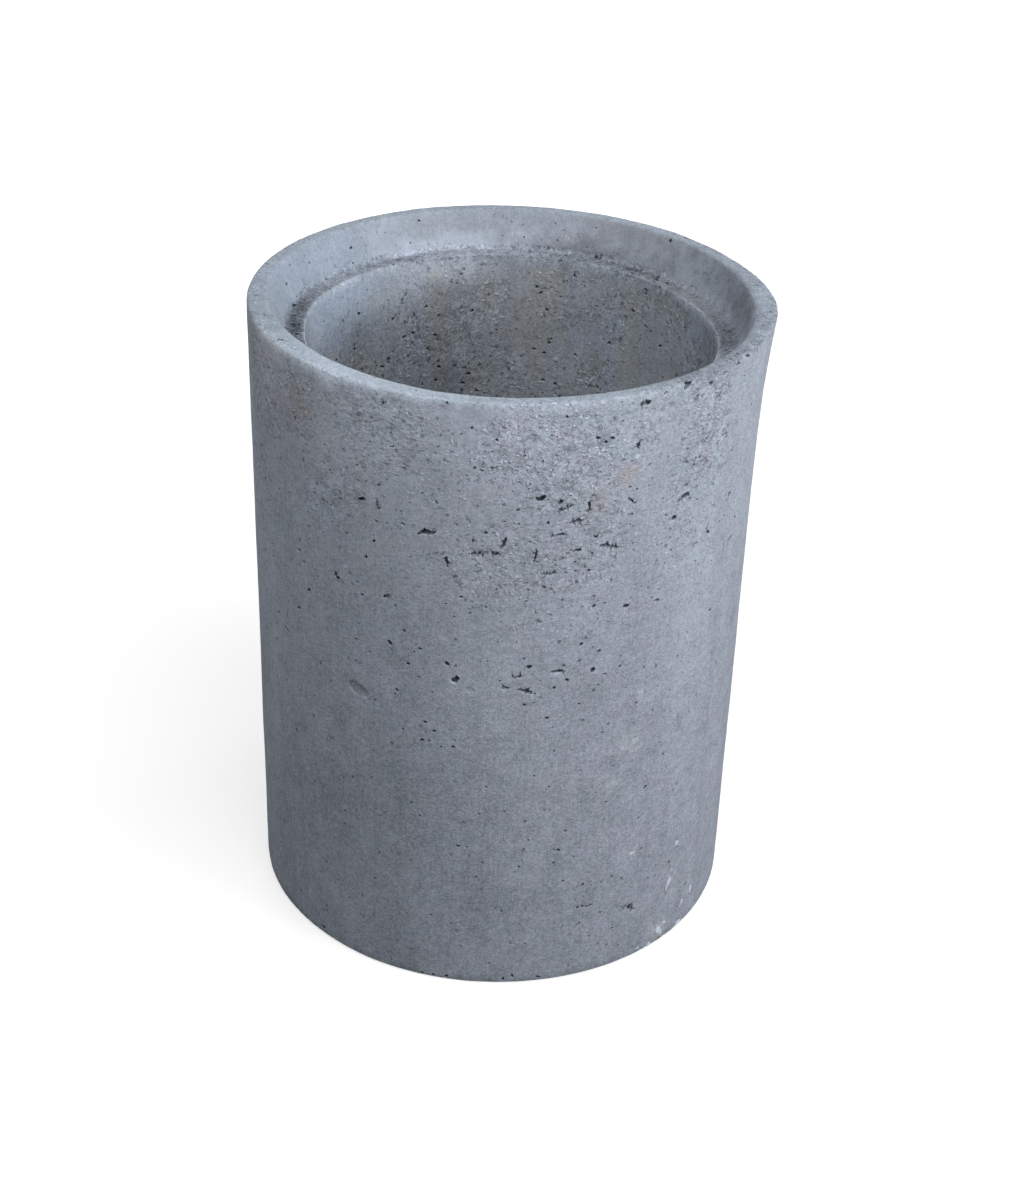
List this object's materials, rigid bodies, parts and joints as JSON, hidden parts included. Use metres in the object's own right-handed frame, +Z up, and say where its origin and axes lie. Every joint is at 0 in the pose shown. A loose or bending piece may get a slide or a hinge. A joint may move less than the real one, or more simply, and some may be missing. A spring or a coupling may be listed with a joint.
{
  "type": "precast manhole section",
  "caption": "Straight cast concrete shaft ring with a round bore, a tapered joint socket and seat in its top end, and a flat base.",
  "frame": {"origin": "centre of the base, on the face that the section stands on", "axes": "+Z up along the bore axis, towards the end with the joint socket"},
  "size_m": [0.5, 0.4998, 0.65],
  "materials": {
    "concrete": "bare cast concrete, blue-grey, matte, with a worn sandy upper part, air voids and tears"
  },
  "bodies": {
    "root": {"manhole_section": "concrete"}
  },
  "joints": []
}
